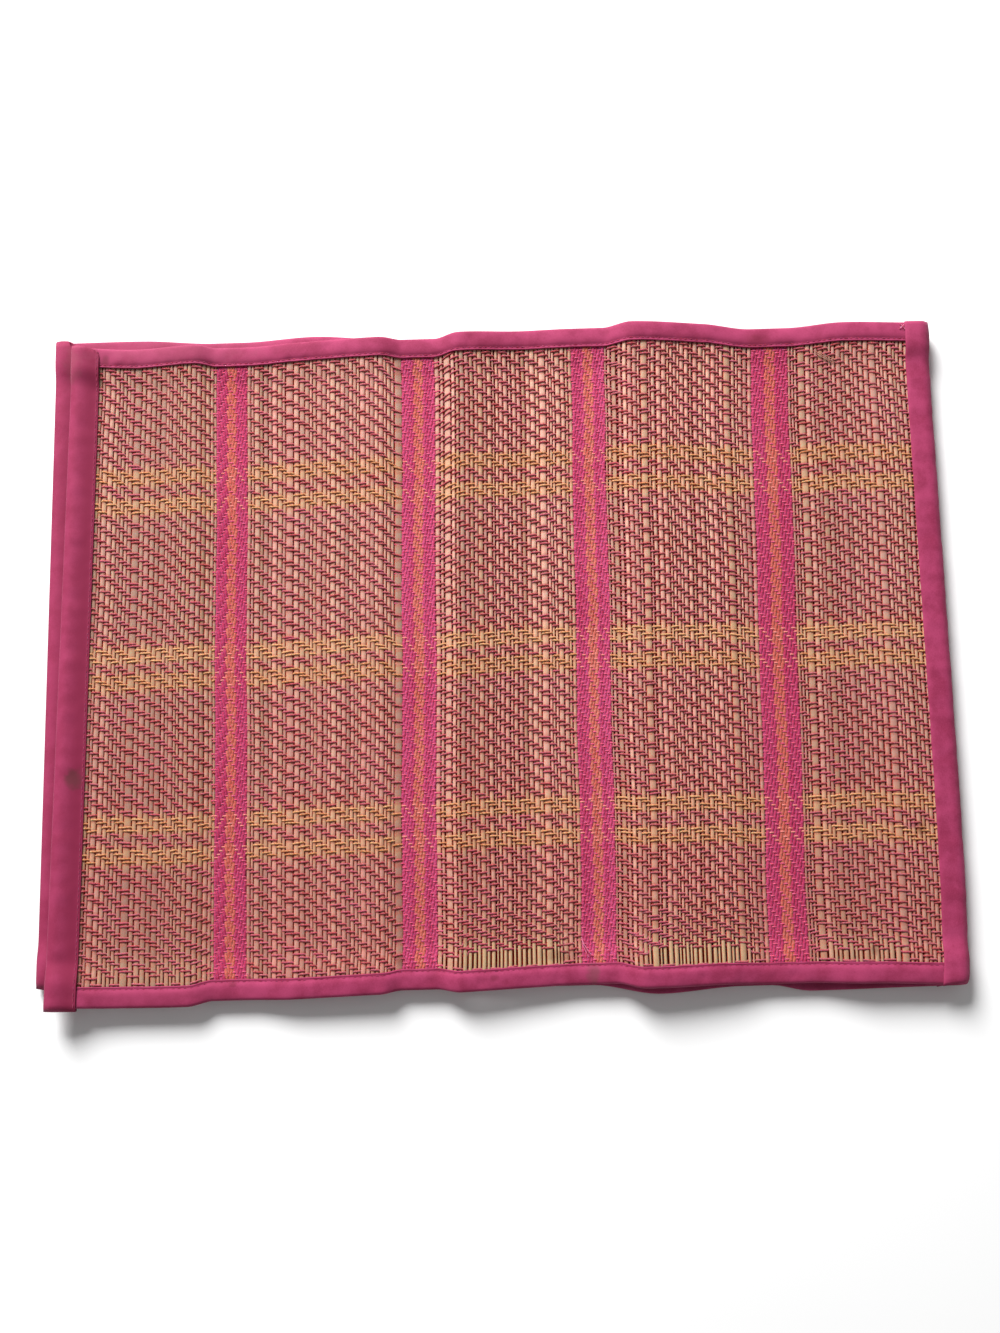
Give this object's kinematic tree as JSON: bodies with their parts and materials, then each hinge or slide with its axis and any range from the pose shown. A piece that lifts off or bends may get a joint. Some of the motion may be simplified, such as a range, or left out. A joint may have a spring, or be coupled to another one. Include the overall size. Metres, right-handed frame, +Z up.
{
  "type": "folded woven reed placemat",
  "caption": "Long woven reed and cotton table mat, edged with sewn cotton tape and folded in half to lie as a rectangular placemat.",
  "frame": {"origin": "under the middle of the mat's box, on the table", "axes": "+X along the mat to the fold, +Y to the far side across the mat, +Z up"},
  "size_m": [0.4651, 0.3457, 0.0154],
  "materials": {
    "reed_weave": "split reeds bound by thin cotton yarns, matt with a faint gloss on the reeds",
    "cotton_tape": "soft matt rose cotton tape, folded over the edge and stitched"
  },
  "bodies": {
    "root": {"woven_mat": "reed_weave", "far_edge_tape": "cotton_tape", "near_edge_tape": "cotton_tape", "upper_end_tape": "cotton_tape", "lower_end_tape": "cotton_tape", "fold_strip": "cotton_tape"}
  },
  "joints": []
}
